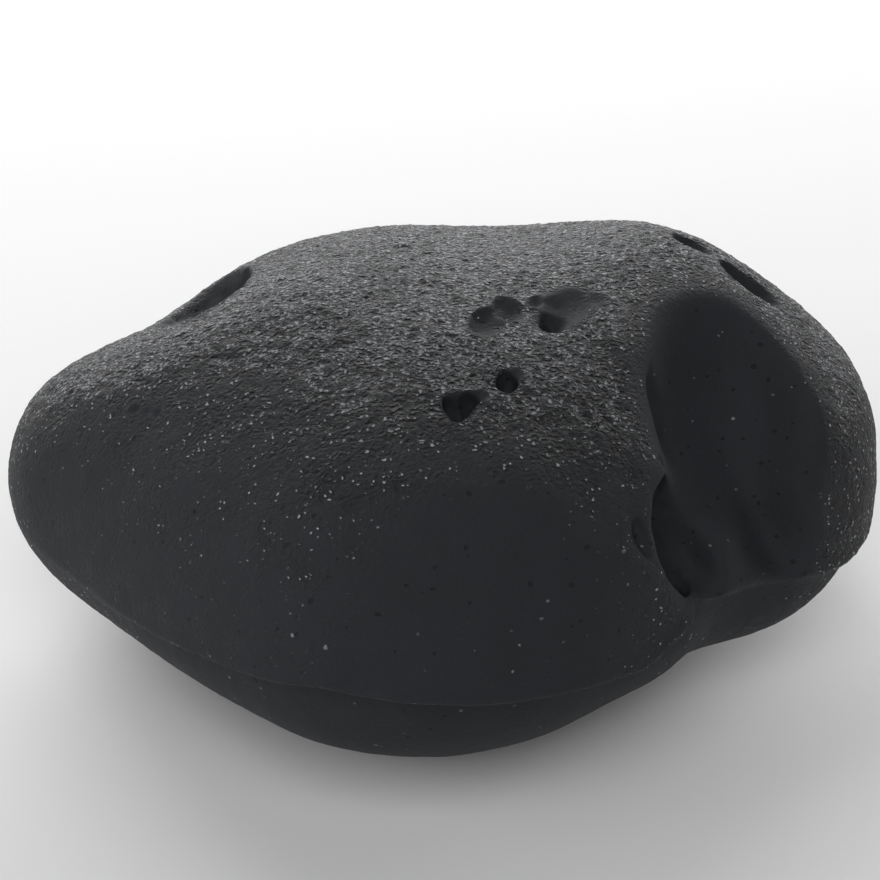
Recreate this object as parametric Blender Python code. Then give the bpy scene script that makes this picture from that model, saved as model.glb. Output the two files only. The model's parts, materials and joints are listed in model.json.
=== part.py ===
"""A water-worn river rock, in metres with +Z up.

The stone is one solid: a wide crown over a blunt front face, a lobe at its right end, a smooth valley
between the two, a ledge round the front, round holes left by gas bubbles, and a small flat to rest on.
The sizes below are in millimetres, in a frame whose X and Y lie within 2 mm of the finished stone's.
"""

import bpy
import numpy as np

MM = 0.001

# The widest outline, seen from above: direction from the middle in degrees, counter-clockwise from +X,
# and how far out the outline is there.
OUTLINE = (
    (0, 91),
    (14, 93),
    (28, 92),
    (60, 82),
    (95, 71),
    (130, 75),
    (156, 84),
    (170, 93),
    (182, 91.5),
    (200, 79),
    (225, 73.3),
    (250, 74.7),
    (270, 73.4),
    (290, 70.5),
    (305, 68),
    (318, 69),
    (329, 69),
    (336, 73),
    (343, 80.5),
    (351, 88),
)
MIDDLE = (0, -1, 38)

# The crown and the underside curve away from the outline as superellipses.
CROWN_HEIGHT = 50
CROWN_SQUARENESS = 2.2
UNDERSIDE_DEPTH = 42
UNDERSIDE_SQUARENESS = 2.0

# The ledge, under which the wall steps in: its height in each direction round the stone, how far the wall
# steps in and over what height, the lip above it, and the direction it is centred on and how far round it
# reaches, in degrees.
LEDGE_HEIGHTS = (
    (205, 34),
    (228, 38.5),
    (252, 43),
    (270, 40.5),
    (290, 38),
    (306, 35),
    (319, 43),
    (333, 37.5),
    (347, 32.5),
    (360, 34),
)
LEDGE_STEP = 3.0
LEDGE_SOFTNESS = 0.7
LIP_RISE = 1.1
LIP_HEIGHT = 1.8
LEDGE_DIRECTION = 285
LEDGE_SPREAD = 78

# Broad swellings and dips. Each row is a name, where it is centred, how far it reaches and how far it
# moves the surface there, along X, Y and Z.
STROKES = (
    ("back_right_shoulder", (60, 23, 74), (34, 26, 30), (1, 0, 4)),
    ("right_shoulder", (80, 2, 60), (18, 25, 15), (2.4, 0, 0.6)),
    ("slit_slope", (73, 17, 74), (15, 20, 14), (-0.8, 0, -2.2)),
    ("right_foot", (71, -22, 26), (16, 16, 12), (1.5, -1.5, -2.6)),
    ("crown_right", (40, 35, 84), (20, 28, 20), (0, 1, 2)),
    ("crown_saddle", (16, 37, 86), (20, 40, 20), (0, 0, -4.5)),
    ("back_left_slope", (-62, 19, 70), (24, 24, 22), (4, -1, -5)),
    ("front_dish", (6, -67, 58), (28, 16, 20), (0, 2.5, -1)),
    ("back_dip", (-14, 67, 46), (22, 14, 20), (0, -5, 0)),
    ("back_right_dip", (62, 53, 40), (16, 16, 18), (-2, -4, 0)),
    ("left_end_dip", (-80, 39, 40), (16, 18, 18), (3, -2, 0)),
)

# Hollows are parts of ellipsoids. Each row is a name, the ellipsoid's centre, the way it runs, the way it
# goes in, and its half sizes across, along and inwards. The water has rounded the rims of the worn ones.
WORN_HOLLOWS = (
    ("valley", (60, -19, 80), (0, 0.74, 0.67), (-0.25, 0.7, -0.67), (19, 36, 20)),
    ("right_lobe_dish", (70, -38, 50.5), (0, 0.14, 1), (0, 1, -0.14), (14, 12, 12)),
    ("valley_groove", (56.6, -17.5, 63.6), (0.45, -0.51, -0.74), (-0.3, 0.6, -0.75), (6, 22, 6.5)),
    ("right_pocket", (66, -29, 49), (-0.34, 0.3, 0.88), (-0.3, 0.9, -0.3), (6, 13, 8)),
    ("left_pocket", (45.5, -39.8, 53), (-0.34, 0.36, 0.87), (-0.3, 0.9, -0.25), (8, 14.5, 9)),
    ("left_pocket_head", (52.5, -34, 60), (0.2, -0.75, -0.6), (0, 0.6, -0.8), (7, 13, 7.5)),
    ("back_hollow", (26, 75, 62), (1, -0.2, 0.3), (0, -0.9, -0.4), (10, 17, 12)),
)
CRISP_HOLLOWS = (
    ("valley_rim", (47, -20.5, 71.5), (0.3, -0.35, -0.88), (-0.75, 0.5, -0.43), (5.5, 13, 7)),
    ("left_pocket_rim", (42.7, -39.3, 55), (-0.33, 0.36, 0.87), (-0.6, 0.75, -0.3), (6.8, 13.5, 7)),
    ("nick", (37.8, -48.3, 61.8), (-0.3, 0.3, 0.9), (-0.5, 0.7, -0.5), (1.5, 4.4, 1.7)),
    ("back_left_scoop", (-51.8, 23.6, 75), (0, 0.94, -0.34), (0.48, -0.3, -0.82), (10.5, 17, 10)),
    ("back_right_slit", (66, 20.4, 78.8), (0.83, -0.3, -0.46), (-0.45, -0.3, -0.84), (4.2, 8.5, 6)),
    ("small_slit", (53, 28.2, 83), (0.8, -0.55, -0.2), (-0.3, -0.3, -0.9), (3.2, 5, 4)),
    ("near_hole", (2.7, -34.4, 83), (1, 0.3, 0), (0, 0.2, -1), (2.3, 2.6, 6.5)),
    ("far_hole", (12.2, -27.2, 84), (0.2, 1, 0), (0, 0.2, -1), (2, 2.7, 5)),
    ("left_pits", (8.4, -11.4, 88), (-0.3, 1, 0), (0, 0, -1), (3.2, 5, 3)),
    ("middle_pits", (13.1, -4.6, 88), (-0.2, 1, 0), (0, 0, -1), (3.4, 4.6, 4)),
    ("right_pit", (21.8, -7.8, 87), (0.5, 0.8, 0), (0, 0, -1), (3.2, 4.2, 4.6)),
    ("right_shallow_pit", (26, -2.6, 88.5), (0.3, 1, 0), (0, 0, -1), (5.2, 8, 4.4)),
    ("top_pit", (-8.2, 23.2, 85), (1, 0, 0), (0, -0.2, -1), (1.8, 1.5, 1.8)),
    ("back_hole", (-36, 57, 62), (1, 0.3, 0), (0.3, -0.8, -0.5), (3.6, 4, 6)),
    ("back_left_pit", (-72, 39, 50), (0, 0.3, 1), (0.7, -0.6, -0.2), (3, 4, 4)),
    ("right_end_pit", (90, 15, 56), (0, 1, 0), (-0.9, -0.2, -0.3), (2.8, 3.4, 3.6)),
)

# The ball the stone starts from, and how often its points are averaged with their neighbours.
BALL_SUBDIVISIONS = 7
WORN_STEPS = 10

# The finished mesh: an even one first, rounded at the rims, then one with faces only where they are needed.
EVEN_EDGE = 1.0 * MM
RIM_STEPS = 4
KEPT_FACES = 0.05

# The block of ground that trims the underside to a flat at z = 0.
GROUND_SIZE = (240, 200, 40)

COLOUR = (0.055, 0.057, 0.062, 1)
ROUGHNESS = 0.85


def unit(vector):
    return np.array(vector, float) / np.linalg.norm(vector)


def outline_reach(directions):
    """How far out the outline is in these directions, along a smooth closed curve through its points."""
    angles, reaches = np.array(OUTLINE, float).T
    angles = np.concatenate([angles[-2:] - 360, angles, angles[:2] + 360])
    reaches = np.concatenate([reaches[-2:], reaches, reaches[:2]])
    slopes = np.gradient(reaches, angles)
    start = np.searchsorted(angles, directions, side="right") - 1
    step = angles[start + 1] - angles[start]
    t = (directions - angles[start]) / step
    return (
        (2 * t**3 - 3 * t**2 + 1) * reaches[start]
        + (t**3 - 2 * t**2 + t) * step * slopes[start]
        + (3 * t**2 - 2 * t**3) * reaches[start + 1]
        + (t**3 - t**2) * step * slopes[start + 1]
    )


def rounded(points):
    """Points of a unit ball pushed out to the outline, the crown's top and the underside's bottom."""
    directions = np.degrees(np.arctan2(points[:, 1], points[:, 0])) % 360
    across = np.hypot(points[:, 0], points[:, 1]) / outline_reach(directions)
    is_crown = points[:, 2] > 0
    upward = np.abs(points[:, 2]) / np.where(is_crown, CROWN_HEIGHT, UNDERSIDE_DEPTH)
    squareness = np.where(is_crown, CROWN_SQUARENESS, UNDERSIDE_SQUARENESS)
    reach = (across**squareness + upward**squareness) ** (-1 / squareness)
    return points * reach[:, None] + MIDDLE


def stroked(points):
    """The points after each stroke, which moves them by a bell-shaped share of its full move."""
    for _, centre, reach, move in STROKES:
        away = (points - centre) / reach
        share = np.exp(-(away**2).sum(axis=1))
        points = points + share[:, None] * move
    return points


def hollowed(points, hollows):
    """The points with those inside each ellipsoid moved inwards onto its far side."""
    for _, centre, along, inwards, half_sizes in hollows:
        inwards = unit(inwards)
        along = unit(along - np.dot(along, inwards) * inwards)
        axes = np.array([np.cross(along, inwards), along, inwards])
        local = (points - centre) @ axes.T / half_sizes
        inside = (local**2).sum(axis=1) < 1
        far_side = np.sqrt((1 - local[:, 0] ** 2 - local[:, 1] ** 2).clip(0))
        travel = np.where(inside, (far_side - local[:, 2]) * half_sizes[2], 0)
        points = points + travel[:, None] * inwards
    return points


def smoothed(points, edges, steps):
    """The points after moving halfway to the average of their neighbours, this many times."""
    starts, ends = np.concatenate([edges, edges[:, ::-1]]).T
    counts = np.bincount(starts)
    for _ in range(steps):
        totals = [np.bincount(starts, weights=points[ends, axis]) for axis in range(3)]
        points = 0.5 * points + 0.5 * (totals / counts).T
    return points


def ledged(points):
    """The points with a lip above the ledge, and the wall below it stepped in towards the middle."""
    outward = points[:, :2] - MIDDLE[:2]
    directions = np.degrees(np.arctan2(outward[:, 1], outward[:, 0])) % 360
    outward = outward / np.hypot(outward[:, 0], outward[:, 1])[:, None].clip(MM)
    turn = (directions - LEDGE_DIRECTION + 180) % 360 - 180
    fade = np.exp(-((turn / LEDGE_SPREAD) ** 4))
    above = points[:, 2] - np.interp(directions, *zip(*LEDGE_HEIGHTS), period=360)
    step = LEDGE_STEP * (0.5 - 0.5 * np.tanh(above / LEDGE_SOFTNESS))
    lip = LIP_RISE * np.exp(-((above / LIP_HEIGHT - 1) ** 2))
    points = points.copy()
    points[:, :2] += outward * ((lip - step) * fade)[:, None]
    return points


def centred(points):
    """The points with their bounding box centred over the origin."""
    middle = (points.min(axis=0) + points.max(axis=0)) / 2
    return points - (middle[0], middle[1], 0)


def add_ground():
    """A hidden helper block with its top at z = 0."""
    bpy.ops.mesh.primitive_cube_add(size=1, location=(0, 0, -GROUND_SIZE[2] / 2 * MM))
    block = bpy.context.object
    block.name = "ground"
    block.scale = [size * MM for size in GROUND_SIZE]
    block.hide_render = True
    block.display_type = "WIRE"
    return block


def basalt():
    material = bpy.data.materials.new("water_worn_basalt")
    material.use_nodes = True
    shader = material.node_tree.nodes["Principled BSDF"]
    shader.inputs["Base Color"].default_value = COLOUR
    shader.inputs["Roughness"].default_value = ROUGHNESS
    material.diffuse_color = COLOUR
    return material


def add_modifier(stone, name, kind, **settings):
    modifier = stone.modifiers.new(name, kind)
    for setting, value in settings.items():
        setattr(modifier, setting, value)


def add_stone(ground):
    bpy.ops.mesh.primitive_ico_sphere_add(subdivisions=BALL_SUBDIVISIONS, radius=1)
    stone = bpy.context.object
    stone.name = "river_rock"
    points = np.array([vertex.co for vertex in stone.data.vertices])
    edges = np.array([edge.vertices for edge in stone.data.edges])
    points = hollowed(stroked(rounded(points)), WORN_HOLLOWS)
    points = smoothed(points, edges, WORN_STEPS)
    points = hollowed(ledged(points), CRISP_HOLLOWS)
    stone.data.vertices.foreach_set("co", (centred(points) * MM).ravel())
    stone.data.update()
    stone.data.materials.append(basalt())
    add_modifier(stone, "even_faces", "REMESH", mode="VOXEL", voxel_size=EVEN_EDGE, use_smooth_shade=True)
    add_modifier(stone, "rounded_rims", "SMOOTH", factor=0.5, iterations=RIM_STEPS)
    add_modifier(stone, "fewer_faces", "DECIMATE", ratio=KEPT_FACES)
    add_modifier(stone, "resting_flat", "BOOLEAN", operation="DIFFERENCE", solver="EXACT", object=ground)


def build():
    for thing in list(bpy.data.objects):
        bpy.data.objects.remove(thing)
    add_stone(add_ground())


build()
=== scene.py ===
# %% [markdown]
# # A water-worn river rock
# This stone began as lava. Gas bubbles froze into it as round holes, and a river then rolled it until the
# crown was evenly rough, the hollows were smooth and a ledge was left round its front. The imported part
# gives its form at full size. This lesson adds what the hand and eye meet up close: crisp holes, grain,
# pinholes and colour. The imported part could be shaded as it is, but its faces are about 4 mm wide, and the
# grain is finer than that.

import json
from math import radians

import bpy
import numpy as np
from mathutils import Euler, Matrix, Vector

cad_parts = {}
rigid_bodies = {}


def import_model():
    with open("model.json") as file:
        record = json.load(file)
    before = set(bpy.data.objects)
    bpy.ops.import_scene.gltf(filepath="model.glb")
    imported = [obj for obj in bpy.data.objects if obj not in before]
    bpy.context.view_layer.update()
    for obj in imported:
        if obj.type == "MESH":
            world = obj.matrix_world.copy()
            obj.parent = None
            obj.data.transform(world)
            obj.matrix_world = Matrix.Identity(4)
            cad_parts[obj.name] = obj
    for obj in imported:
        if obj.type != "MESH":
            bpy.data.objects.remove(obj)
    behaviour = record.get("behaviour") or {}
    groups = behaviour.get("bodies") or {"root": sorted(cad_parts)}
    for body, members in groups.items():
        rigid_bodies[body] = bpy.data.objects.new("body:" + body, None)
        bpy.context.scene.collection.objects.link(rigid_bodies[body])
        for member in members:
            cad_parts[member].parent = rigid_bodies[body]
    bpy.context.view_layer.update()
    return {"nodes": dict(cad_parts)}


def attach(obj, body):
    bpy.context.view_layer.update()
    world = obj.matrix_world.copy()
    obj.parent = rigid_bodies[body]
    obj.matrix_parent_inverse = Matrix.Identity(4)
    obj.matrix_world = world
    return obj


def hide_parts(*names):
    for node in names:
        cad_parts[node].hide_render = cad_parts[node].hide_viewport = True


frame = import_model()
packed_stone = frame["nodes"]["river_rock"]
bpy.ops.object.select_all(action="DESELECT")
MM = 0.001

# %% [markdown]
# ## The camera
# The stone is seen a little from above, as on a table, with a long lens that keeps its shape true.
# Blender's camera looks along its own -Z, so a track quaternion turns that axis to the stone. The aim is a
# little above the middle of the stone, so that the stone sits low in the frame.

# %% Add the camera
VIEW_DIRECTION = Vector((0, -0.8192, 0.5736))
CAMERA_DISTANCE = 531.4 * MM
CAMERA_AIM = Vector((-0.4, -1.4, 52.5)) * MM
LENS_MM = 105

bpy.ops.object.camera_add(location=CAMERA_AIM + VIEW_DIRECTION * CAMERA_DISTANCE)
camera = bpy.context.object
camera.data.lens = LENS_MM
camera.rotation_euler = VIEW_DIRECTION.to_track_quat("Z", "Y").to_euler()
bpy.context.scene.camera = camera
print("camera height above the table: %.0f mm" % (camera.location.z / MM))

# %% [markdown]
# ## The light
# A dark, matt stone shows its grain only where light grazes it. So most of the light comes from a wide
# softbox low behind the stone, with two small ones beside it. They rake over the crown and leave the near
# side dim. One on the left lights the pointed end, and one high in front fills the hollows. A single lamp
# would be simpler, but its hard shadows would hide the shape of the hollows.

# %% Hang the soft lights
# Each row is a name, the turn from +Y towards +X and the rise in degrees, width and height in metres, and
# watts.
SOFTBOXES = (
    ("back_softbox", -10, 20, 1.2, 0.8, 10.4),
    ("back_left_softbox", -30, 55, 0.6, 0.6, 2),
    ("back_right_softbox", 48, 20, 0.8, 0.6, 3.4),
    ("left_softbox", -97, 14, 0.6, 0.6, 3.1),
    ("front_softbox", 180, 48, 0.7, 0.7, 4.7),
)
STONE_MIDDLE = Vector((0, 0, 40)) * MM

for name, turn, rise, width, height, watts in SOFTBOXES:
    one_metre_away = Vector((0, 1, 0))
    one_metre_away.rotate(Euler((radians(rise), 0, -radians(turn))))
    bpy.ops.object.light_add(
        type="AREA",
        location=STONE_MIDDLE + one_metre_away,
        rotation=one_metre_away.to_track_quat("Z", "Y").to_euler(),
    )
    lamp = bpy.context.object
    lamp.name = name
    lamp.data.shape = "RECTANGLE"
    lamp.data.size = width
    lamp.data.size_y = height
    lamp.data.energy = watts
    lamp.visible_camera = False
print("softboxes:", len(SOFTBOXES))

# %% [markdown]
# ## The room
# The walls of a white room give back a little light from all round. A dim white world does the same, at a
# fraction of the work that real walls would take. The Standard view keeps a white table white, where a
# film-like view would turn it grey.

# %% Fill the room with dim light
ROOM_LIGHT = 0.055

room = bpy.data.worlds.new("dim_white_room")
bpy.context.scene.world = room
room.use_nodes = True
room.node_tree.nodes["Background"].inputs["Color"].default_value = (1, 1, 1, 1)
room.node_tree.nodes["Background"].inputs["Strength"].default_value = ROOM_LIGHT
bpy.context.scene.view_settings.view_transform = "Standard"
print("room light:", ROOM_LIGHT)

# %% [markdown]
# ## The modelling helpers
# Three small helpers keep the steps short. One makes a thing the only one selected, because an operator
# acts on all that is selected. One adds a modifier, sets it and applies it, as its panel would. The last
# reads where the skin's points are and which way they face.

# %% Define the modelling helpers
def pick(thing):
    """Make the thing the only one selected, and the active one."""
    bpy.ops.object.select_all(action="DESELECT")
    thing.select_set(True)
    bpy.context.view_layer.objects.active = thing


def apply_modifier(kind, **settings):
    """Add a modifier to the active object with these settings, and apply it."""
    bpy.ops.object.modifier_add(type=kind)
    modifier = bpy.context.object.modifiers[-1]
    for setting, value in settings.items():
        setattr(modifier, setting, value)
    bpy.ops.object.modifier_apply(modifier=modifier.name)


def surface_of(thing):
    """The thing's points and normals, as arrays."""
    count = len(thing.data.vertices)
    points = np.empty(count * 3)
    normals = np.empty(count * 3)
    thing.data.vertices.foreach_get("co", points)
    thing.data.vertices.foreach_get("normal", normals)
    return points.reshape(-1, 3), normals.reshape(-1, 3)


# %% [markdown]
# ## The rounded body
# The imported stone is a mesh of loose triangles. A copy of it is merged, and a Subdivision Surface rounds
# its flat faces into the smooth swells that the river left. A new sculpt would do as well, but it would
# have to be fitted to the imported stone, and this one fits it from the start.

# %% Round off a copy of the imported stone
MERGE_DISTANCE = 0.02 * MM

stone = bpy.data.objects.new("worn_stone", packed_stone.data.copy())
bpy.context.scene.collection.objects.link(stone)
stone.data.materials.clear()
pick(stone)
bpy.ops.object.mode_set(mode="EDIT")
bpy.ops.mesh.select_all(action="SELECT")
bpy.ops.mesh.remove_doubles(threshold=MERGE_DISTANCE)
bpy.ops.object.mode_set(mode="OBJECT")
apply_modifier("SUBSURF", levels=1, render_levels=1)
apply_modifier("SMOOTH", factor=0.5, iterations=2)
print("rounded body:", len(stone.data.polygons), "faces")

# %% [markdown]
# ## The holes
# Each round hole is a gas bubble that the wear has opened, and each slit, nick and chip was knocked out
# later. All of them are cut with balls, each stretched to the hole's size and turned so that it goes in at
# the hole's own slant. A hole with an uneven mouth takes several balls. Pushing the surface in would be
# quicker, but it can't make an overhanging rim.

# %% List the holes
# Each row is a name, the centre, the way it runs, the way it goes in, and half its size across, along and
# in, all in millimetres.
HOLES = (
    ("near_hole", (2.6, -33.6, 83.0), (1, 0.3, 0), (0, 0.2, -1), (2.2, 2.4, 6.4)),
    ("near_hole_right", (5.0, -31.9, 83.5), (1, 0.5, 0), (0, 0.2, -1), (1.7, 2.2, 6)),
    ("near_hole_left", (1.5, -32.6, 83.3), (1, 0, 0), (0, 0.2, -1), (1.5, 1.6, 4.5)),
    ("near_hole_tip", (2.7, -36.0, 82.4), (0, 1, 0), (0, 0.2, -1), (1.4, 1.6, 4.8)),
    ("near_hole_shoulder", (7.3, -31.2, 84.6), (1, 0.5, 0), (0, 0, -1), (1.7, 2.0, 1.7)),
    ("far_hole", (12.5, -26.3, 83.6), (0.2, 1, 0), (0, 0.2, -1), (2.1, 2.9, 5.2)),
    ("far_hole_shoulder", (14.3, -24.7, 84.9), (0.3, 1, 0), (0, 0, -1), (1.7, 2.2, 1.6)),
    ("left_pit", (9.1, -8.7, 87.3), (0.25, 1, 0), (0, 0, -1), (3.6, 6.0, 2.8)),
    ("middle_pit", (13.1, -3.2, 87.8), (-0.2, 1, 0), (0, 0, -1), (3.3, 5.4, 3.8)),
    ("bridge_pit", (18.6, -0.4, 87.3), (0.2, 1, 0), (0, 0, -1), (1.8, 2.8, 2.8)),
    ("right_pit", (22.1, -6.6, 87), (0.4, 0.9, 0), (-0.1, 0, -1), (2.9, 3.9, 5)),
    ("right_shallow_pit", (23.4, -3.4, 87.4), (0.1, 1, 0), (0, 0, -1), (4.4, 6.8, 3.2)),
    ("far_shallow_pit", (30.2, 0.4, 87.2), (1, 0.3, 0), (0, 0, -1), (3.2, 4.2, 2.2)),
    ("top_pit", (-7.9, 24.2, 85.4), (1, 0, 0), (0, -0.2, -1), (1.3, 1.6, 2)),
    ("back_left_scoop", (-51.0, 22.5, 75.4), (0, 0.94, -0.34), (0.48, -0.4, -0.78), (11.2, 17, 10.3)),
    ("back_right_slit", (66.3, 21.5, 78.8), (0.83, -0.3, -0.46), (-0.45, -0.3, -0.84), (4.3, 8.6, 6.4)),
    ("small_slit", (53.3, 29.3, 83), (0.8, -0.55, -0.2), (-0.3, -0.3, -0.9), (3.2, 5, 4)),
    ("valley_rim", (47.3, -19.4, 71.5), (0.3, -0.35, -0.88), (-0.75, 0.5, -0.43), (5.7, 13.2, 7.2)),
    ("left_pocket_rim", (43, -38.2, 55), (-0.33, 0.36, 0.87), (-0.6, 0.75, -0.3), (6.9, 13.6, 7.2)),
    ("nick", (38.1, -47.4, 61.8), (-0.3, 0.3, 0.9), (-0.5, 0.7, -0.5), (1.5, 4.4, 1.6)),
    ("rim_slit", (43.1, -32.8, 69.6), (0, 0.2, 1), (-1, 0.2, 0), (0.8, 1.8, 1.6)),
    ("left_chip", (-61.0, -17.2, 71.2), (1, 0, 0), (0.4, 0.4, -0.8), (0.7, 1.4, 1.2)),
    ("middle_chip", (-58.4, -19.1, 72.1), (1, 0.4, 0), (0.4, 0.4, -0.8), (0.6, 0.9, 1.1)),
    ("right_chip", (-56.2, -20.3, 72.8), (1, -0.4, 0), (0.4, 0.4, -0.8), (0.7, 1.0, 1.2)),
    ("ledge_chip", (0.7, -72.8, 40.4), (1, 0, 0), (0, 1, 0), (0.5, 2.4, 0.9)),
    ("low_pinhole", (-4.6, -68.3, 28.2), (1, 0, 0), (0, 0.9, 0.4), (0.6, 0.7, 0.9)),
    ("back_hole", (-35.7, 58.1, 62), (1, 0.3, 0), (0.3, -0.8, -0.5), (3.5, 3.9, 6)),
    ("back_left_pit", (-71.7, 40.1, 50), (0, 0.3, 1), (0.7, -0.6, -0.2), (2.9, 3.9, 4)),
    ("right_end_pit", (90.3, 16.1, 56), (0, 1, 0), (-0.9, -0.2, -0.3), (2.7, 3.3, 3.6)),
)
print("holes listed:", len(HOLES))

# %% [markdown]
# ## Turning a ball into a hole's slant
# A row says which way a hole runs and which way it goes in. The cross product of the two gives the third
# way, across, and the three together are a rotation. Angles could be written down instead, but a direction
# is easier to picture.

# %% Define the turn of a hole
def turn_of(along, inwards):
    """The rotation that turns X across a hole, Y along it and Z into it."""
    inwards = Vector(inwards).normalized()
    across = Vector(along).cross(inwards).normalized()
    return Matrix((across, inwards.cross(across), inwards)).transposed()


print("the first hole is turned by:", turn_of(*HOLES[0][2:4]).to_euler())

# %% [markdown]
# ## The cutters
# No two bubbles froze alike, so two Displace modifiers make every ball uneven: one with broad lumps, and
# one with small ones that leave the rim chipped. Their textures stay still while the balls move through
# them, so each ball gets its own lumps.

# %% Make the cutters
# Each row is a name, the size of the lumps, the layers of noise, and the most they move the ball: as a
# share of its half width, and outright.
UNEVENNESS = (
    ("lumpy_bubble", 2.6 * MM, 1, 0.42, 1.3 * MM),
    ("chipped_rim", 1.5 * MM, 2, 0.35, 0.8 * MM),
)
for name, lump_size, layers, _, _ in UNEVENNESS:
    texture = bpy.data.textures.new(name, "CLOUDS")
    texture.noise_scale = lump_size
    texture.noise_depth = layers

cutters = []
for name, centre, along, inwards, half_sizes in HOLES:
    bpy.ops.mesh.primitive_ico_sphere_add(
        subdivisions=5,
        radius=1,
        location=Vector(centre) * MM,
        rotation=turn_of(along, inwards).to_euler(),
        scale=Vector(half_sizes) * MM,
    )
    cutter = bpy.context.object
    cutter.name = name
    bpy.ops.object.transform_apply(location=True, rotation=True, scale=True)
    half_width = min(half_sizes) * MM
    for texture_name, _, _, share, most in UNEVENNESS:
        apply_modifier(
            "DISPLACE",
            texture=bpy.data.textures[texture_name],
            texture_coords="LOCAL",
            strength=min(share * half_width, most),
        )
    cutters.append(cutter)
print("cutters:", len(cutters))

# %% [markdown]
# ## Cutting the holes
# A Boolean is only sure of itself when its cutter is closed and doesn't cross itself. Some balls overlap,
# so they are joined and remeshed into one closed skin first. The stone could be cut ball by ball instead,
# but every cut takes as long as this one.

# %% Cut the holes
CUTTER_STEP = 0.3 * MM

for cutter in cutters:
    cutter.select_set(True)
bpy.ops.object.join()
bubbles = bpy.context.object
apply_modifier("REMESH", mode="VOXEL", voxel_size=CUTTER_STEP)
pick(stone)
apply_modifier("BOOLEAN", operation="DIFFERENCE", solver="EXACT", object=bubbles)
bpy.data.objects.remove(bubbles)
print("stone with its holes:", len(stone.data.polygons), "faces")

# %% [markdown]
# ## Even, fine skin
# The grain needs many small faces of one size, and a voxel Remesh gives them. Its steps are smaller than a
# grain, and a light Smooth takes them off. A Subdivision Surface would keep the long thin faces that the
# Boolean left.

# %% Give the stone an even skin
SKIN_STEP = 0.45 * MM

apply_modifier("REMESH", mode="VOXEL", voxel_size=SKIN_STEP, use_smooth_shade=True)
apply_modifier("SMOOTH", factor=0.5, iterations=4)
print("even skin:", len(stone.data.polygons), "faces")

# %% [markdown]
# ## Soft edges
# Wear has no hard borders. Every border below is a fade: a curve that leaves 0 and reaches 1 without a
# kink. A hollow's smooth skin fades out past its rim in the same way. A straight ramp would be simpler, but
# its two kinks would show as faint lines.

# %% Define the fades
HOLLOW_EDGE = 0.1


def fade(value, start, end):
    """0 before start, 1 past end and a soft rise between them."""
    t = np.clip((value - start) / (end - start), 0, 1)
    return t * t * (3 - 2 * t)


def depth_in_hollow(points, row, reach):
    """1 inside the row's ellipsoid and on its wall, falling to 0 at the reach (mm) outside it."""
    _, centre, along, inwards, half_sizes = row
    turn = np.array(turn_of(along, inwards))
    local = (points / MM - centre) @ turn / half_sizes
    outside = (np.linalg.norm(local, axis=1) - 1) * min(half_sizes)
    return 1 - fade(outside, HOLLOW_EDGE, reach)


print("half way through a fade: %.2f" % fade(0.5, 0, 1))

# %% [markdown]
# ## The ledge's line
# A ledge runs round the front of the stone, where a softer layer under it has worn back. Its line is given
# by its height in each direction, and a point counts as below it when it is lower than the line. The line
# fades out round the back and near the table. A curve drawn on the stone would do, but heights are quick to
# read and change.

# %% Find what lies below the ledge
# Each pair is a direction in degrees from +X and the ledge's height there in mm.
LEDGE_HEIGHTS = (
    (205, 34), (228, 38.5), (252, 43), (270, 40.5), (290, 38),
    (306, 35), (319, 43), (333, 37.5), (347, 32.5), (360, 34),
)
LEDGE_MIDDLE = (0.3, 0.1)
LEDGE_DIRECTION = 285
LEDGE_SPREAD = 78
LEDGE_EDGE = 0.3
FOOT_HEIGHTS = (3, 9)


def below_ledge(points):
    """1 below the ledge's line, 0 above it, fading out round the back and at the foot."""
    outward = points[:, :2] / MM - LEDGE_MIDDLE
    directions = np.degrees(np.arctan2(outward[:, 1], outward[:, 0])) % 360
    turn = (directions - LEDGE_DIRECTION + 180) % 360 - 180
    above = points[:, 2] / MM - np.interp(directions, *zip(*LEDGE_HEIGHTS), period=360)
    below = 1 - fade(above, -LEDGE_EDGE, LEDGE_EDGE)
    return below * np.exp(-((turn / LEDGE_SPREAD) ** 4)) * fade(points[:, 2] / MM, *FOOT_HEIGHTS)


points, normals = surface_of(stone)
print("share of the skin below the ledge: %.2f" % below_ledge(points).mean())

# %% [markdown]
# ## The broad hollows
# The valley, its groove and pockets and the dish on the right lobe were worn by water, and they are in the
# packed stone already. Their rows are written as the holes' are, but they cut nothing. They only say where
# the water left the stone smooth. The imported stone's own bends could show that too, but a listed hollow is
# easier to move.

# %% List the broad hollows
BROAD_HOLLOWS = (
    ("valley", (60.3, -17.9, 80), (0, 0.74, 0.67), (-0.25, 0.7, -0.67), (19, 36, 20)),
    ("right_lobe_dish", (70.3, -36.9, 50.5), (0, 0.14, 1), (0, 1, -0.14), (14, 12, 12)),
    ("valley_groove", (56.9, -16.4, 63.6), (0.45, -0.51, -0.74), (-0.3, 0.6, -0.75), (6, 22, 6.5)),
    ("right_pocket", (66.3, -27.9, 49), (-0.34, 0.3, 0.88), (-0.3, 0.9, -0.3), (6, 13, 8)),
    ("left_pocket", (45.8, -38.7, 53), (-0.34, 0.36, 0.87), (-0.3, 0.9, -0.25), (8, 14.5, 9)),
    ("pit_floor", (24.4, -2.2, 85.4), (0.2, 1, 0), (0, 0, -1), (4.4, 6.2, 2.4)),
    ("back_hollow", (26.3, 76.1, 62), (1, -0.2, 0.3), (0, -0.9, -0.4), (10, 17, 12)),
)
print("broad hollows listed:", len(BROAD_HOLLOWS))

# %% [markdown]
# ## Where the stone is rough
# The crown was struck from all sides and is rough. The face that the current polished and the insides of
# the hollows are smooth. That is worked out from each point's place and the way it faces. It could be
# painted by hand instead, but a rule gives soft borders everywhere at once.

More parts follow.
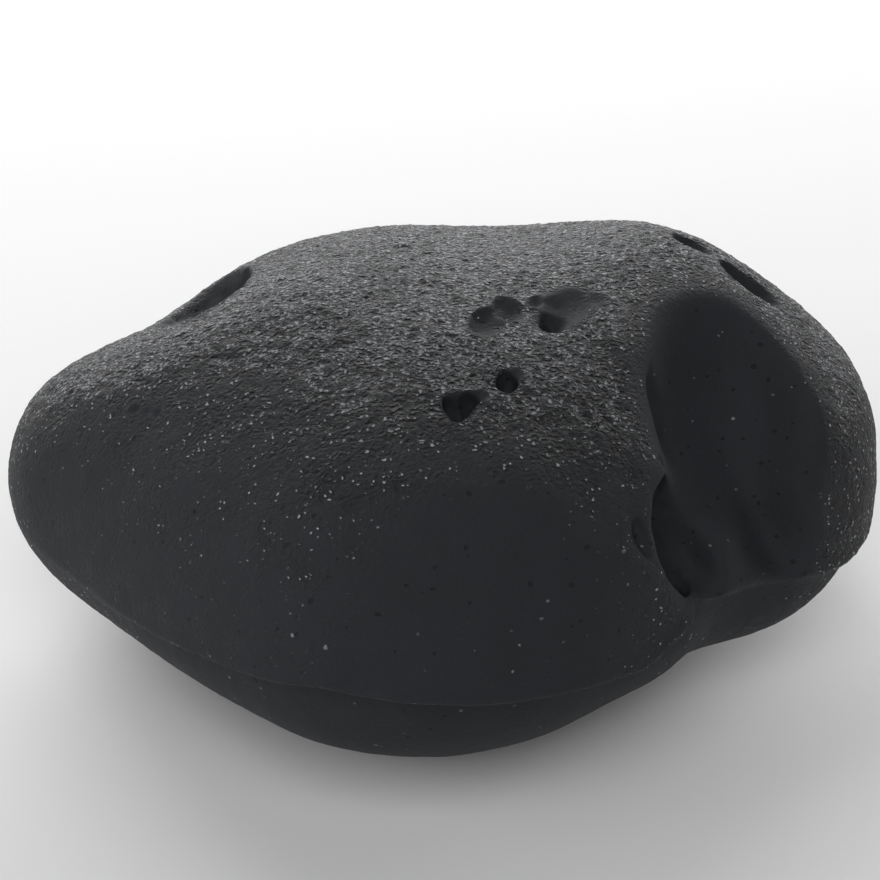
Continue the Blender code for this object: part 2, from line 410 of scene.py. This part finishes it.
# %% Work out the roughness
# Each wear is the share of roughness that is lost, and each fade is where it starts and ends: in mm from a
# place, or in how far the skin faces a direction, from 0 across it to 1 right at it.
FACES_THE_CURRENT = Vector((-0.27, -0.91, 0.32)).normalized()
CURRENT_WEAR = 0.8
CURRENT_FADE = (0.35, 0.85)
POLISHED_FACE = (14, -64, 57)
POLISH_FADE = (6, 46)
UPRIGHT_WEAR = 0.5
UPRIGHT_FADE = (0.3, 0.95)
HOLLOW_WEAR = 0.9
LEDGE_WEAR = 0.85
FOOT_FADE = (0.4, 3)
# A hole's smooth skin ends just past its rim, and a broad hollow's goes on a good way past it.
NARROWEST_RIM = 0.55
HOLE_RIM_SHARE = 0.15
HOLLOW_RIM_SHARE = 0.5


def roughness_of(points, normals):
    """How rough the stone is at each point, from 0 in a hollow to 1 on the crown."""
    facing = normals @ np.array(FACES_THE_CURRENT)
    rough = 1 - CURRENT_WEAR * fade(facing, *CURRENT_FADE)
    rough = rough * fade(np.linalg.norm(points / MM - POLISHED_FACE, axis=1), *POLISH_FADE)
    rough = rough * (1 - UPRIGHT_WEAR + UPRIGHT_WEAR * fade(normals[:, 2], *UPRIGHT_FADE))
    for row in HOLES:
        rim = max(NARROWEST_RIM, HOLE_RIM_SHARE * min(row[4]))
        rough = rough * (1 - HOLLOW_WEAR * depth_in_hollow(points, row, rim))
    for row in BROAD_HOLLOWS:
        rim = HOLLOW_RIM_SHARE * min(row[4])
        rough = rough * (1 - HOLLOW_WEAR * depth_in_hollow(points, row, rim))
    rough = rough * (1 - LEDGE_WEAR * below_ledge(points))
    return rough * fade(points[:, 2] / MM, *FOOT_FADE)


rough = roughness_of(points, normals)
print("rough share of the stone: %.2f" % rough.mean())

# %% [markdown]
# ## Marking the skin
# A vertex group holds a weight for each point, and a modifier that names the group acts by that weight.
# Three groups are made: the rough skin, the skin below the ledge, and all the skin that is off the table,
# because the stone's foot has to stay flat. The weights are rounded to sixteen steps, so that each group
# takes sixteen calls and not one for every point.

# %% Mark the skin
WEIGHT_STEPS = 16


def mark(thing, name, values):
    """A vertex group of these values, rounded to a few steps."""
    group = thing.vertex_groups.new(name=name)
    steps = np.round(values * WEIGHT_STEPS).astype(int)
    for step in range(1, WEIGHT_STEPS + 1):
        group.add(np.flatnonzero(steps == step).tolist(), step / WEIGHT_STEPS, "REPLACE")


mark(stone, "rough", rough)
mark(stone, "above_ground", fade(points[:, 2] / MM, *FOOT_FADE))
mark(stone, "below_ledge", below_ledge(points))
print("marks:", [group.name for group in stone.vertex_groups])

# %% [markdown]
# ## The ledge
# The ledge is a sharp step: the wall below it lies further in. A Displace modifier without a texture moves
# the skin below the ledge's line in by one small depth, and the group ends right at the line, which keeps
# the edge crisp. A cut with a blade would be sharper than any edge on a river stone.

# %% Sharpen the ledge
LEDGE_CUT = 0.8 * MM

apply_modifier("DISPLACE", mid_level=0, strength=-LEDGE_CUT, vertex_group="below_ledge")
print("ledge cut: %.1f mm deep" % (LEDGE_CUT / MM))

# %% [markdown]
# ## Swells, lumps and grain
# Three Displace modifiers wear the skin at three sizes: shallow swells all over, then lumps and grain on
# the rough stone alone. With its middle level near 1, each one cuts inwards far more than it raises, so the
# stone doesn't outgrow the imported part. A bump in the material would be quicker, but it wouldn't roughen
# the outline.

# %% Wear the skin
# Each row is a name, the size of the lumps, how far they reach in all, and the group that they act on.
WEAR = (
    ("swells", 13 * MM, 0.6 * MM, "above_ground"),
    ("lumps", 2.8 * MM, 0.5 * MM, "rough"),
    ("grain", 1.3 * MM, 0.5 * MM, "rough"),
)
WEAR_MIDDLE_LEVEL = 0.8

for name, lump_size, reach, group in WEAR:
    texture = bpy.data.textures.new(name, "CLOUDS")
    texture.noise_scale = lump_size
    texture.noise_depth = 1
    apply_modifier(
        "DISPLACE",
        texture=texture,
        texture_coords="LOCAL",
        direction="NORMAL",
        mid_level=WEAR_MIDDLE_LEVEL,
        strength=reach,
        vertex_group=group,
    )
worn, _ = surface_of(stone)
print("deepest wear: %.2f mm" % (np.linalg.norm(worn - points, axis=1).max() / MM))

# %% [markdown]
# ## Fewer faces
# A Decimate modifier merges faces where the stone is smooth and keeps them where it is rough. A coarser
# Remesh would save as many, but it would blur the grain and the rims.

# %% Thin out the faces
FACE_BUDGET = 190000

triangles = sum(len(face.vertices) - 2 for face in stone.data.polygons)
apply_modifier("DECIMATE", ratio=FACE_BUDGET / triangles)
stone.vertex_groups.clear()
bpy.ops.object.shade_smooth()
print("finished skin:", len(stone.data.polygons), "faces")

# %% [markdown]
# ## Roughness for the material
# The material needs to know where the stone is rough too. The same rule is worked out again for the
# finished skin and kept as an attribute, which a material reads by its name. An image map would need the
# skin unwrapped.

# %% Keep the roughness on the skin
points, normals = surface_of(stone)
rough = roughness_of(points, normals)
layer = stone.data.attributes.new("rough", "FLOAT", "POINT")
layer.data.foreach_set("value", rough)
print("roughness kept at", len(rough), "points")

# %% [markdown]
# ## The material helpers
# Two helpers keep the material short. One turns a colour that is picked on a screen into the linear one
# that Blender works with. The other adds a node with its settings and its links. The nodes could be laid
# out by hand in the editor, but here each one stands beside its reason.

# %% Define the material helpers
def linear(hex_colour):
    """A linear colour from an sRGB hex value."""
    parts = [int(hex_colour[i : i + 2], 16) / 255 for i in (1, 3, 5)]
    return [part / 12.92 if part <= 0.04045 else ((part + 0.055) / 1.055) ** 2.4 for part in parts] + [1]


def add_node(tree, kind, settings=None, **links):
    """A node with its settings, and with its inputs linked to sockets or set to values.

    An input goes by its name, or by its number after an underscore where several share a name.
    """
    node = tree.nodes.new(kind)
    for setting, value in (settings or {}).items():
        setattr(node, setting, value)
    for name, value in links.items():
        number = name[1:]
        socket = node.inputs[int(number)] if number.isdigit() else node.inputs[name.replace("_", " ")]
        if isinstance(value, bpy.types.NodeSocket):
            tree.links.new(value, socket)
        else:
            socket.default_value = value
    return node


print("charcoal in linear light:", [round(part, 4) for part in linear("#1b1d21")])

# %% [markdown]
# ## Water-worn vesicular basalt
# Basalt is dark lava rock of fine crystals, and its gas holes make it vesicular. River wear leaves it matt:
# struck skin is a crackle of crystals with light bruised tips and dark gaps, and polished skin is a dull,
# bluish charcoal with scattered pinholes. The pale tips are partly crushed powder and partly painted
# highlight, and the black in the gaps and the pinholes is painted shade. An image of stone would be quicker,
# but it would need unwrapping and would blur up close. The nodes read each point's place on the stone and
# the roughness kept there.

# %% Start the basalt
SOFT = {"interpolation_type": "SMOOTHSTEP"}
COLOUR_MIX = {"data_type": "RGBA"}

basalt = bpy.data.materials.new("water_worn_vesicular_basalt")
basalt.use_nodes = True
tree = basalt.node_tree
shader = tree.nodes["Principled BSDF"]
place = add_node(tree, "ShaderNodeTexCoord").outputs["Object"]
rough_here = add_node(tree, "ShaderNodeAttribute", {"attribute_name": "rough"}).outputs["Fac"]
stone.data.materials.append(basalt)
print("material:", basalt.name)

# %% [markdown]
# ## Patches of struck stone
# Wear is patchy: here and there the river left a smooth spot on rough stone, or a rough one on smooth
# stone. A noise is added to the roughness, and a mask keeps it off the stone that is smooth all over. The
# result, how struck the stone is, drives the colour, the bump and the gloss alike, so that they always
# agree.

# %% Mix in the patches
PATCH_SIZE = 6 * MM

patchy = add_node(tree, "ShaderNodeTexNoise", Vector=place, Scale=1 / PATCH_SIZE, Detail=3, Roughness=0.6)
patch_push = add_node(
    tree, "ShaderNodeMapRange", Value=patchy.outputs["Fac"],
    From_Min=0.36, From_Max=0.64, To_Min=-0.12, To_Max=0.28,
)
pushed = add_node(
    tree, "ShaderNodeMath", {"operation": "ADD", "use_clamp": True},
    _0=rough_here, _1=patch_push.outputs["Result"],
)
any_grain = add_node(
    tree, "ShaderNodeMapRange", SOFT, Value=rough_here,
    From_Min=0.02, From_Max=0.22, To_Min=0, To_Max=1,
)
struck = add_node(
    tree, "ShaderNodeMath", {"operation": "MULTIPLY"}, _0=pushed.outputs[0], _1=any_grain.outputs["Result"],
).outputs[0]
print("patches: %.0f mm" % (PATCH_SIZE / MM))

# %% [markdown]
# ## Crystals
# The crystals are just under a millimetre wide and a little longer along the stone, as the lava flowed. A
# Voronoi texture gives one cell for each crystal. Its distance makes the crystal a dome, and its random
# colour says how far the crystal stands out. A fine noise bends the cells first, because real crystals
# aren't straight-sided.

# %% Grow the crystals
CRYSTAL_SIZE = 0.9 * MM
BEND_SIZE = 1.4 * MM
BEND_REACH = 0.9 * MM
FLOW_STRETCH = (0.8, 1, 1)

along_flow = add_node(tree, "ShaderNodeMapping", Vector=place, Scale=FLOW_STRETCH).outputs["Vector"]
wander = add_node(tree, "ShaderNodeTexNoise", Vector=place, Scale=1 / BEND_SIZE, Detail=1)
bent = add_node(
    tree, "ShaderNodeVectorMath", {"operation": "MULTIPLY_ADD"},
    _0=wander.outputs["Color"], _1=[BEND_REACH] * 3, _2=along_flow,
).outputs["Vector"]
crystals = add_node(tree, "ShaderNodeTexVoronoi", Vector=bent, Scale=1 / CRYSTAL_SIZE)
dome = add_node(
    tree, "ShaderNodeMapRange", SOFT, Value=crystals.outputs["Distance"],
    From_Min=0.05, From_Max=0.6, To_Min=1, To_Max=0,
)
chance = add_node(tree, "ShaderNodeSeparateColor", Color=crystals.outputs["Color"])
proud = add_node(
    tree, "ShaderNodeMapRange", SOFT, Value=chance.outputs["Red"],
    From_Min=0.2, From_Max=1, To_Min=0.1, To_Max=1,
)
standing = add_node(
    tree, "ShaderNodeMath", {"operation": "MULTIPLY"}, _0=dome.outputs["Result"], _1=proud.outputs["Result"],
)
print("crystals: %.1f mm" % (CRYSTAL_SIZE / MM))

# %% [markdown]
# ## Crackle
# Blows leave a crackle of fine ridges over the crystals. A ridged multifractal noise has such ridges, where
# an even noise only has soft lumps. The ridges and the crystals together are the relief, which both the
# colour and the bump read below.

# %% Crackle the skin
CRACKLE_SIZE = 1.15 * MM
CRACKLE_SHARE = 0.6

crackle = add_node(
    tree, "ShaderNodeTexNoise", {"noise_type": "RIDGED_MULTIFRACTAL", "normalize": False},
    Vector=along_flow, Scale=1 / CRACKLE_SIZE, Detail=3, Roughness=0.7, Offset=0.9, Gain=2,
)
relief = add_node(
    tree, "ShaderNodeMath", {"operation": "MULTIPLY_ADD"},
    _0=crackle.outputs["Fac"], _1=CRACKLE_SHARE, _2=standing.outputs[0],
).outputs[0]
print("crackle: %.2f mm" % (CRACKLE_SIZE / MM))

# %% [markdown]
# ## Charcoal with painted shade in the gaps
# Fresh basalt is a bluish charcoal, and it wanders a little from place to place. Between struck crystals no
# light gets in, so the low parts of the relief are painted almost black: painted shade, not the stone's own
# colour. A deeper bump alone would leave them grey.

# %% Colour the stone and paint shade into its gaps
MOTTLE_SIZE = 11 * MM
DARK_CHARCOAL = linear("#1b1d21")
LIGHT_CHARCOAL = linear("#24262b")
# Painted shade: the near-black that goes into the low relief between struck crystals.
GAP_SHADE_BLACK = linear("#050506")

mottle = add_node(tree, "ShaderNodeTexNoise", Vector=place, Scale=1 / MOTTLE_SIZE, Detail=3, Roughness=0.55)
charcoal = add_node(
    tree, "ShaderNodeMix", COLOUR_MIX, _0=mottle.outputs["Fac"], _6=DARK_CHARCOAL, _7=LIGHT_CHARCOAL,
)
gap_shade = add_node(
    tree, "ShaderNodeMapRange", SOFT, Value=relief, From_Min=0.15, From_Max=0.8, To_Min=0.85, To_Max=0,
)
struck_gap_shade = add_node(
    tree, "ShaderNodeMath", {"operation": "MULTIPLY"}, _0=gap_shade.outputs["Result"], _1=struck,
)
gap_shaded = add_node(
    tree, "ShaderNodeMix", COLOUR_MIX, _0=struck_gap_shade.outputs[0], _6=charcoal.outputs[2], _7=GAP_SHADE_BLACK,
)
print("gaps and charcoal mixed")

# %% [markdown]
# ## Bruised tips and painted highlights
# A blow crushes a crystal's tip to pale powder. The pale grey here is also a painted highlight, standing in
# for the light that glints on the tips. The tips are the highest parts of the relief. Adding how struck the
# stone is to that height makes whole crystals pale on the crown and leaves only a few flecks on the flanks.
# Fading one even pattern out instead would leave a faint grey net on the smooth faces.

# %% Bruise the tips and paint highlights on them
STRUCK_RISE = 0.8
# Partly the pale powder of crushed tips and partly a painted highlight on them.
BRUISED_AND_HIGHLIGHT_GREY = linear("#b8bbc2")

struck_relief = add_node(
    tree, "ShaderNodeMath", {"operation": "MULTIPLY_ADD"}, _0=struck, _1=STRUCK_RISE, _2=relief,
)
tips = add_node(
    tree, "ShaderNodeMapRange", SOFT, Value=struck_relief.outputs[0],
    From_Min=1.56, From_Max=2.02, To_Min=0, To_Max=1,
)
struck_at_all = add_node(
    tree, "ShaderNodeMapRange", SOFT, Value=struck, From_Min=0, From_Max=0.3, To_Min=0, To_Max=1,
)
struck_tips = add_node(
    tree, "ShaderNodeMath", {"operation": "MULTIPLY"},
    _0=tips.outputs["Result"], _1=struck_at_all.outputs["Result"],
)
bruised_and_highlighted = add_node(
    tree, "ShaderNodeMix", COLOUR_MIX, _0=struck_tips.outputs[0], _6=gap_shaded.outputs[2], _7=BRUISED_AND_HIGHLIGHT_GREY,
)
print("tips bruised")

# %% [markdown]
# ## Pinholes
# The smallest gas bubbles are pinholes of about half a millimetre. A Voronoi texture scatters them, one to
# a cell. Each cell's own random colour is taken from its distance, so that every pinhole has its own size
# and some cells have none. Each is painted near-black, which is painted shade for the dark inside of the
# hole, and the bump below sinks it a little. As cut holes they would take far too many faces.

# %% Scatter the pinholes
PINHOLE_SPACING = 2.5 * MM
PINHOLE_SPREAD = 0.32
# Painted shade: the near-black inside each pinhole.
PINHOLE_SHADE_BLACK = linear("#070708")

pinhole_cells = add_node(tree, "ShaderNodeTexVoronoi", Vector=bent, Scale=1 / PINHOLE_SPACING)
pinhole_gap = add_node(
    tree, "ShaderNodeMath", {"operation": "MULTIPLY_ADD"},
    _0=pinhole_cells.outputs["Color"], _1=-PINHOLE_SPREAD, _2=pinhole_cells.outputs["Distance"],
)
pinholes = add_node(
    tree, "ShaderNodeMapRange", SOFT, Value=pinhole_gap.outputs[0],
    From_Min=-0.13, From_Max=-0.05, To_Min=0.7, To_Max=0,
)
pinhole_shaded = add_node(
    tree, "ShaderNodeMix", COLOUR_MIX, _0=pinholes.outputs["Result"], _6=bruised_and_highlighted.outputs[2], _7=PINHOLE_SHADE_BLACK,
)
print("pinholes: one in %.1f mm" % (PINHOLE_SPACING / MM))

# %% [markdown]
# ## Pale specks
# Some pinholes were filled by pale minerals later, which shows as specks. They come in patches drawn out
# down the stone's sides, along old cracks, so a noise with a stretched height masks them. Scattered evenly,
# they would look like paint.

# %% Scatter the specks
SPECK_SPACING = 2.4 * MM
SPECK_SPREAD = 0.26
SPECK_PATCH_SIZE = 9 * MM
DOWNWARD_STRETCH = (1, 1, 0.45)
SPECK_GREY = linear("#8a8d91")

speck_cells = add_node(tree, "ShaderNodeTexVoronoi", Vector=bent, Scale=1 / SPECK_SPACING)
speck_gap = add_node(
    tree, "ShaderNodeMath", {"operation": "MULTIPLY_ADD"},
    _0=speck_cells.outputs["Color"], _1=-SPECK_SPREAD, _2=speck_cells.outputs["Distance"],
)
specks = add_node(
    tree, "ShaderNodeMapRange", SOFT, Value=speck_gap.outputs[0],
    From_Min=-0.12, From_Max=-0.04, To_Min=1, To_Max=0,
)
down_the_sides = add_node(tree, "ShaderNodeMapping", Vector=place, Scale=DOWNWARD_STRETCH)
speck_patches = add_node(
    tree, "ShaderNodeTexNoise",
    Vector=down_the_sides.outputs["Vector"], Scale=1 / SPECK_PATCH_SIZE, Detail=2, Roughness=0.6,
)
patch_mask = add_node(
    tree, "ShaderNodeMapRange", SOFT, Value=speck_patches.outputs["Fac"],
    From_Min=0.46, From_Max=0.64, To_Min=0, To_Max=0.8,
)
patched_specks = add_node(
    tree, "ShaderNodeMath", {"operation": "MULTIPLY"},
    _0=specks.outputs["Result"], _1=patch_mask.outputs["Result"],
)
specked = add_node(
    tree, "ShaderNodeMix", COLOUR_MIX, _0=patched_specks.outputs[0], _6=pinhole_shaded.outputs[2], _7=SPECK_GREY,
)
tree.links.new(specked.outputs[2], shader.inputs["Base Color"])
print("specks: one in %.1f mm" % (SPECK_SPACING / MM))

# %% [markdown]
# ## Bump
# The relief also tilts the light as real crystals do, by far the most where the stone is struck. A second
# bump sinks the pinholes. Both are finer than the mesh's own faces. The reach of the first is greater than
# the real height of a crystal, because a crystal is only four pixels wide in the render and has to show.

# %% Raise the crystals and sink the pinholes
CRYSTAL_RISE = 3.8 * MM
PINHOLE_DEPTH = 0.5 * MM

bump_amount = add_node(
    tree, "ShaderNodeMapRange", Value=struck, From_Min=0, From_Max=0.8, To_Min=0.12, To_Max=1,
)
bump = add_node(
    tree, "ShaderNodeBump", Strength=bump_amount.outputs["Result"], Distance=CRYSTAL_RISE, Height=relief,
)
pinhole_bump = add_node(
    tree, "ShaderNodeBump", {"invert": True}, Strength=0.8, Distance=PINHOLE_DEPTH,
    Height=pinholes.outputs["Result"], Normal=bump.outputs["Normal"],
)
tree.links.new(pinhole_bump.outputs["Normal"], shader.inputs["Normal"])
print("bump reach: %.1f mm" % (CRYSTAL_RISE / MM))

# %% [markdown]
# ## Gloss
# A polished river stone is dull when dry, and its struck crystals glint a little more than that. So the
# smooth stone gets the higher shader roughness, and the struck stone the lower. The IOR stays at 1.5, which
# is usual for stone, and a little less specular light than usual keeps the dark stone from looking wet.

# %% Set the gloss
POLISHED_ROUGHNESS = 0.8
STRUCK_ROUGHNESS = 0.46
SPECULAR_LEVEL = 0.4

dullness = add_node(
    tree, "ShaderNodeMapRange", Value=struck,
    From_Min=0, From_Max=1, To_Min=POLISHED_ROUGHNESS, To_Max=STRUCK_ROUGHNESS,
)
tree.links.new(dullness.outputs["Result"], shader.inputs["Roughness"])
shader.inputs["Specular IOR Level"].default_value = SPECULAR_LEVEL
print("nodes in the basalt:", len(tree.nodes))

# %% [markdown]
# ## The table
# The stone rests on a plain pale table. One flat sheet is enough, if it is wide enough to fill the frame.
# It is painted matt, so that it shows the stone's soft shadow and no reflection.

# %% Add the table
TABLE_SIDE = 6
TABLE_PAINT = "#efefef"

bpy.ops.mesh.primitive_plane_add(size=TABLE_SIDE, location=(0, 0, 0))
table = bpy.context.object
table.name = "pale_table"
paint = bpy.data.materials.new("matt_pale_paint")
paint.use_nodes = True
paint.node_tree.nodes["Principled BSDF"].inputs["Base Color"].default_value = linear(TABLE_PAINT)
paint.node_tree.nodes["Principled BSDF"].inputs["Roughness"].default_value = 0.9
table.data.materials.append(paint)
print("table: %.0f m wide" % TABLE_SIDE)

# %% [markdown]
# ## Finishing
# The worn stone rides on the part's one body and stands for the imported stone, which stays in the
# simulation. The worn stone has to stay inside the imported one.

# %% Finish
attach(stone, "root")
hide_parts("river_rock")
